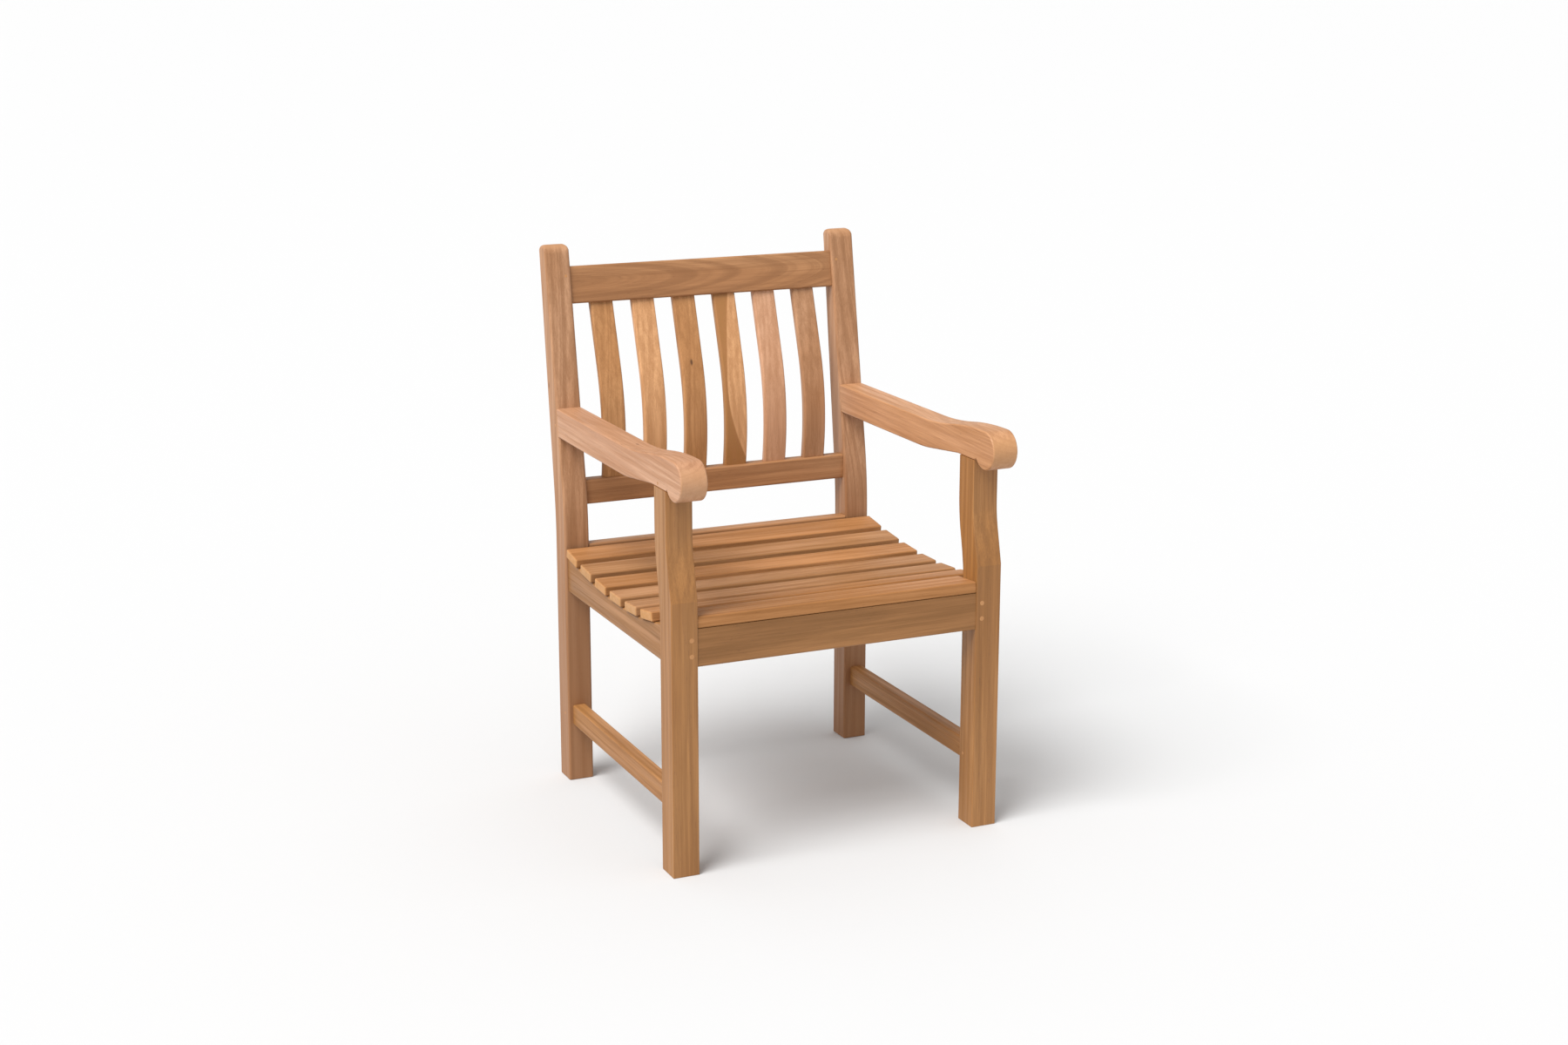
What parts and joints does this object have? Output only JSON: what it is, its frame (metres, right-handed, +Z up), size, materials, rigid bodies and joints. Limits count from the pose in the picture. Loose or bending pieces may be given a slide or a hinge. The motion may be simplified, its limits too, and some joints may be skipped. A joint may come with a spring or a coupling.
{
  "type": "garden armchair",
  "caption": "Teak garden armchair with a dished slatted seat, bent back slats between two rails, scrolled arms, raked rear posts and side stretchers, joined with mortise, tenon and wooden pegs",
  "frame": {"origin": "middle of the chair's outline in plan, on the floor", "axes": "+Z is up, +Y points from the front of the chair to its back, +X points to the right for someone facing the front"},
  "size_m": [0.6, 0.6582, 0.965],
  "materials": {
    "teak_frame": "bare teak, sanded smooth, matt, not oiled",
    "teak_slats": "bare teak, sanded smooth, matt, slightly paler and pinker than the frame",
    "teak_pegs": "bare teak end grain, trimmed flush",
    "teak_dowels": "plain hardwood dowel, hidden inside the joints"
  },
  "bodies": {
    "root": {"front_leg_left": "teak_frame", "front_leg_right": "teak_frame", "rear_post_left": "teak_frame", "rear_post_right": "teak_frame", "arm_left": "teak_frame", "arm_right": "teak_frame", "front_seat_rail": "teak_frame", "rear_seat_rail": "teak_frame", "side_seat_rail_left": "teak_frame", "side_seat_rail_right": "teak_frame", "side_stretcher_left": "teak_frame", "side_stretcher_right": "teak_frame", "top_back_rail": "teak_frame", "lower_back_rail": "teak_frame", "back_slat_1": "teak_slats", "back_slat_2": "teak_slats", "back_slat_3": "teak_slats", "back_slat_4": "teak_slats", "back_slat_5": "teak_slats", "back_slat_6": "teak_slats", "front_seat_slat": "teak_slats", "seat_slat_1": "teak_slats", "seat_slat_2": "teak_slats", "seat_slat_3": "teak_slats", "seat_slat_4": "teak_slats", "seat_slat_5": "teak_slats", "seat_slat_6": "teak_slats", "joint_pegs": "teak_pegs", "joint_pins": "teak_pegs", "slat_dowels": "teak_dowels"}
  },
  "joints": []
}
